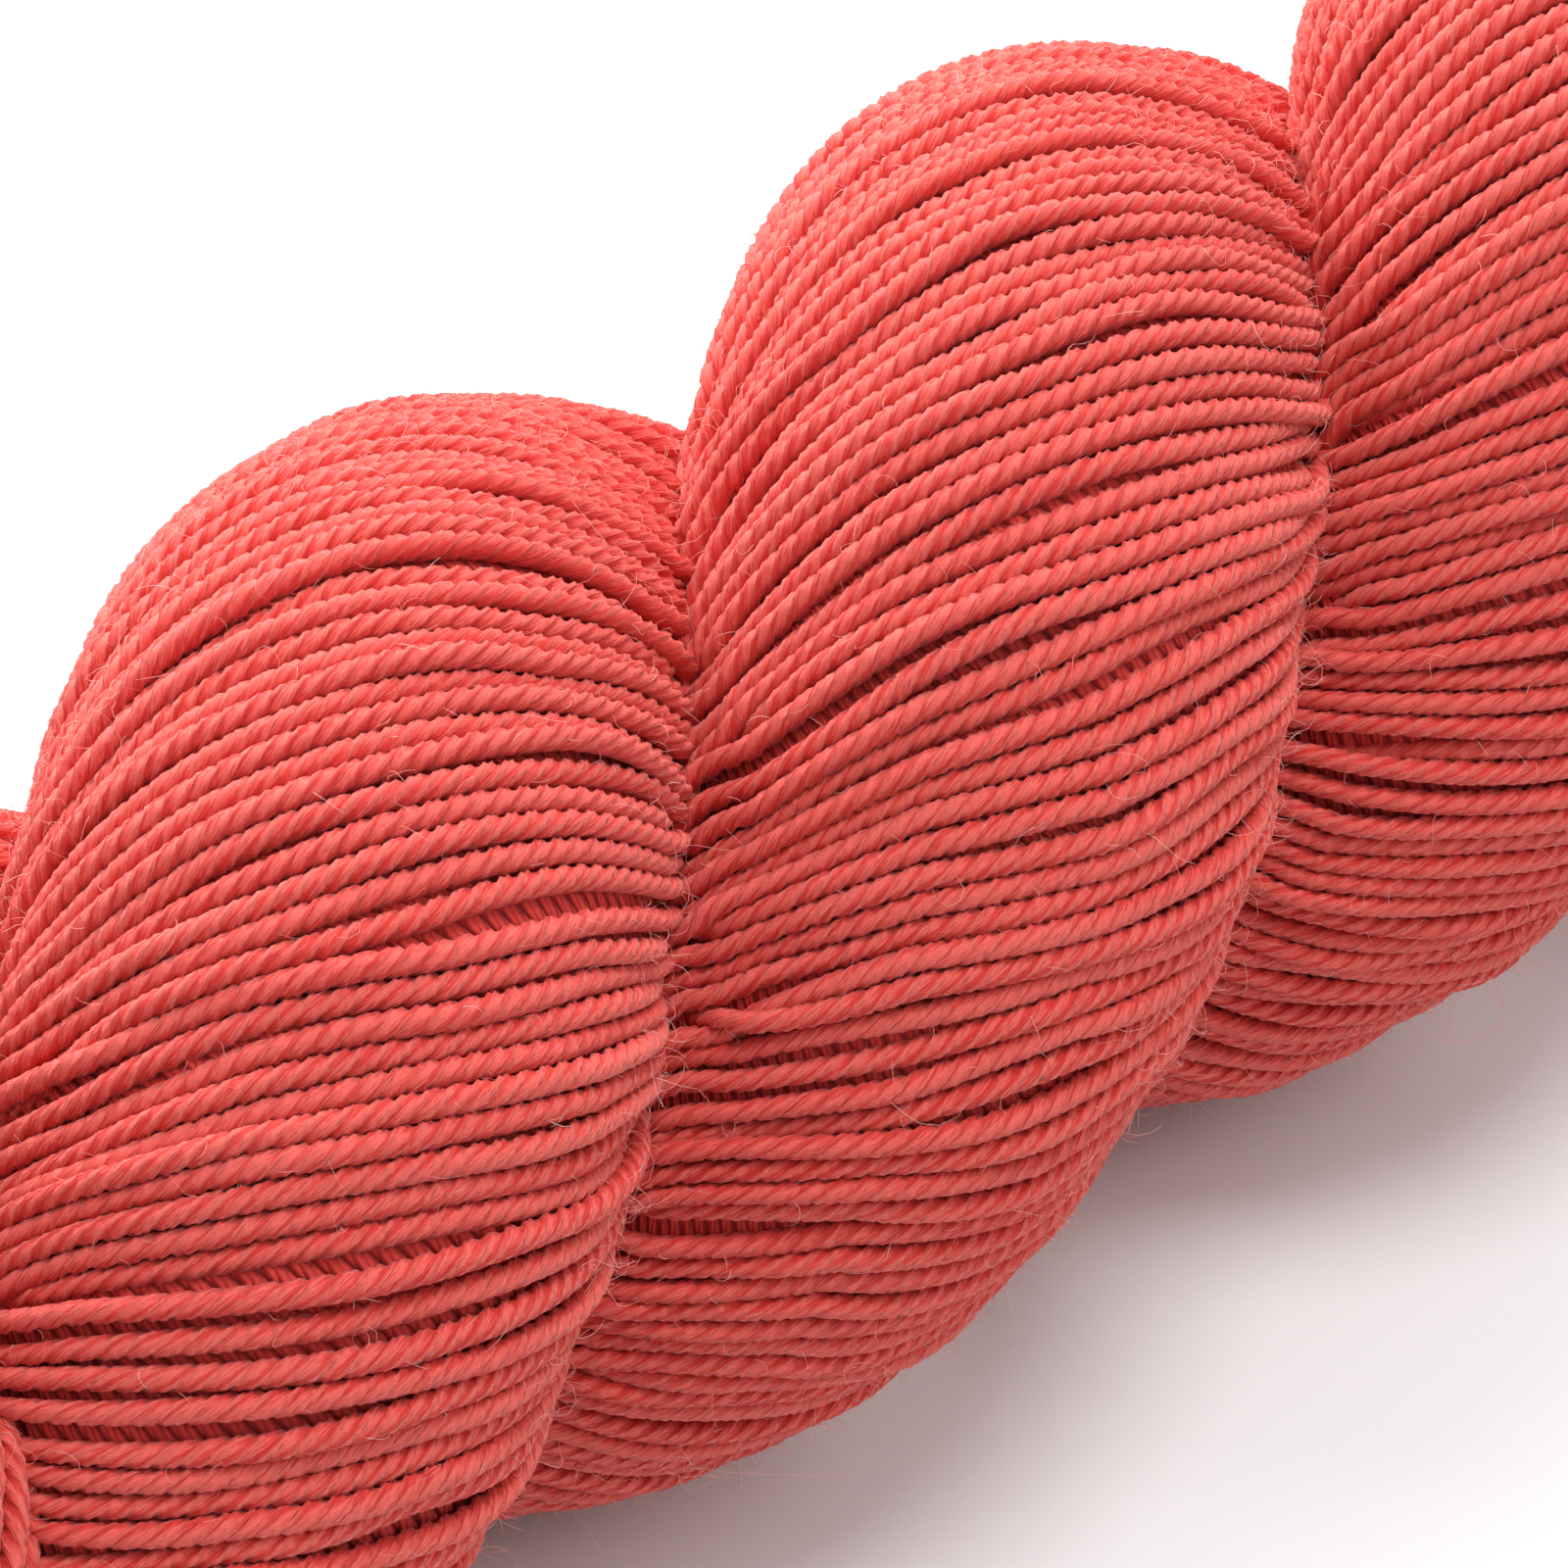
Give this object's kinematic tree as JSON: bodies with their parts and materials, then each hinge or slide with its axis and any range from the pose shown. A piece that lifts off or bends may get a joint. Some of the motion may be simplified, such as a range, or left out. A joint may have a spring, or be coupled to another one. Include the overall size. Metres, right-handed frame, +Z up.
{
  "type": "twisted skein of yarn",
  "caption": "Skein of fuzzy coral-red alpaca yarn, twisted and folded back on itself into a plump two-ply rope with one end loop tucked through the other.",
  "frame": {"origin": "middle of the footprint, on the surface that the skein lies on", "axes": "+X along the rope from the tucked end to the folded end, +Z up"},
  "size_m": [0.246, 0.0598, 0.0586],
  "materials": {
    "yarn": "soft, fuzzy, matt plied alpaca yarn dyed coral red"
  },
  "bodies": {
    "root": {"hank": "yarn"}
  },
  "joints": []
}
